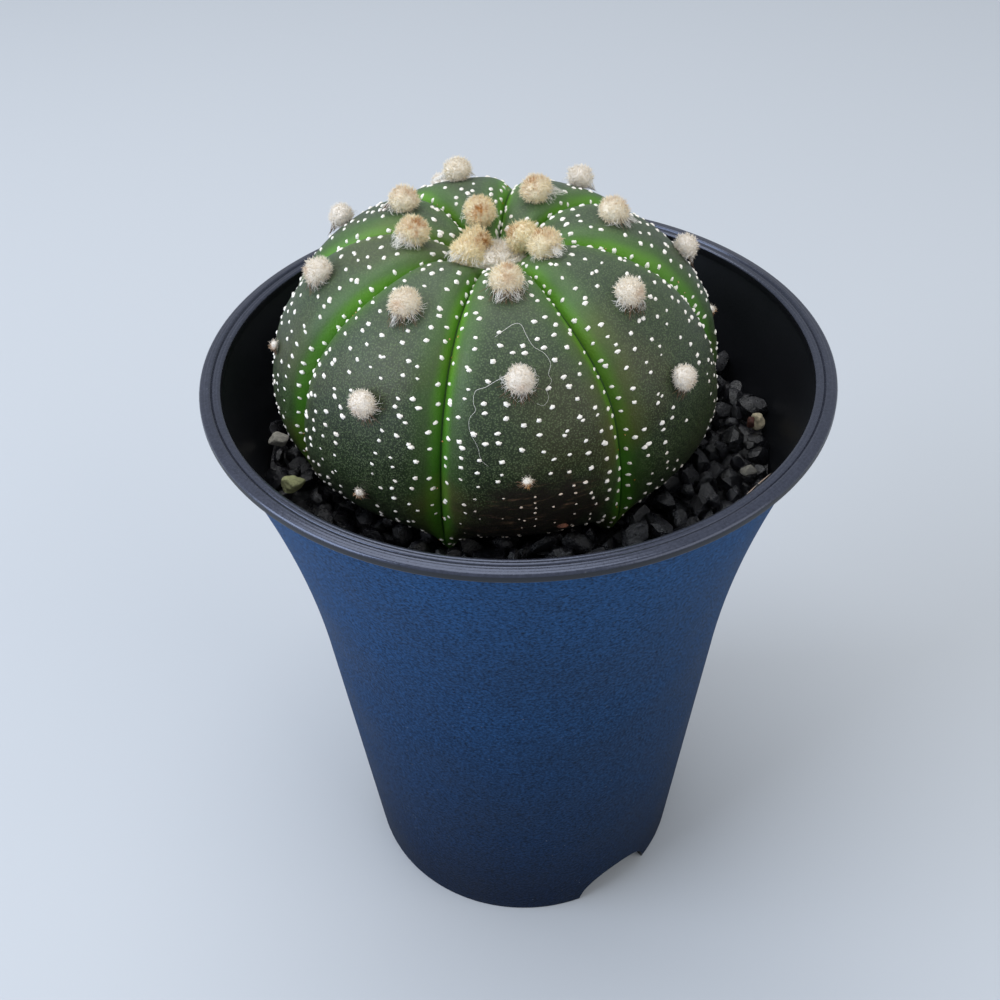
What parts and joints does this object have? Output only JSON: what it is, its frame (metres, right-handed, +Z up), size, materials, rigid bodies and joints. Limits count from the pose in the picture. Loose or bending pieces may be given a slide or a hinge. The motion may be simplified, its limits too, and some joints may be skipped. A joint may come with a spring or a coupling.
{
  "type": "potted star cactus",
  "caption": "Ribbed, spineless star cactus with woolly tufts, rooted under dark grit in a tall flared nursery pot that stands on its foot.",
  "frame": {"origin": "middle of the pot's foot, on the surface that it stands on", "axes": "+Z up through the pot's mouth, -Y towards the front, the side the plant leans to"},
  "size_m": [0.09, 0.09, 0.126],
  "materials": {
    "pot_plastic": "satin",
    "potting_soil": "matte",
    "lava_grit": "satin",
    "pale_grit": "matte",
    "cactus_skin": "satin",
    "areole_wool": "matte"
  },
  "bodies": {
    "root": {"cactus_body": "cactus_skin", "crown_felt": "areole_wool", "grit_top_dressing": "lava_grit", "pale_stone_left_back": "pale_grit", "pale_stone_left_front": "pale_grit", "pale_stone_right": "pale_grit", "pot": "pot_plastic", "potting_soil": "potting_soil", "rib_1_dry_tuft_3": "areole_wool", "rib_1_wool_tuft_1": "areole_wool", "rib_1_wool_tuft_2": "areole_wool", "rib_2_wool_tuft_1": "areole_wool", "rib_2_wool_tuft_2": "areole_wool", "rib_2_wool_tuft_3": "areole_wool", "rib_3_dry_tuft_4": "areole_wool", "rib_3_wool_tuft_2": "areole_wool", "rib_3_wool_tuft_3": "areole_wool", "rib_4_dry_tuft_3": "areole_wool", "rib_4_wool_tuft_1": "areole_wool", "rib_4_wool_tuft_2": "areole_wool", "rib_5_wool_tuft_1": "areole_wool", "rib_5_wool_tuft_2": "areole_wool", "rib_5_wool_tuft_3": "areole_wool", "rib_6_dry_tuft_4": "areole_wool", "rib_6_wool_tuft_2": "areole_wool", "rib_6_wool_tuft_3": "areole_wool", "rib_7_dry_tuft_3": "areole_wool", "rib_7_wool_tuft_1": "areole_wool", "rib_7_wool_tuft_2": "areole_wool", "rib_8_dry_tuft_4": "areole_wool", "rib_8_wool_tuft_1": "areole_wool", "rib_8_wool_tuft_2": "areole_wool", "rib_8_wool_tuft_3": "areole_wool"}
  },
  "joints": []
}
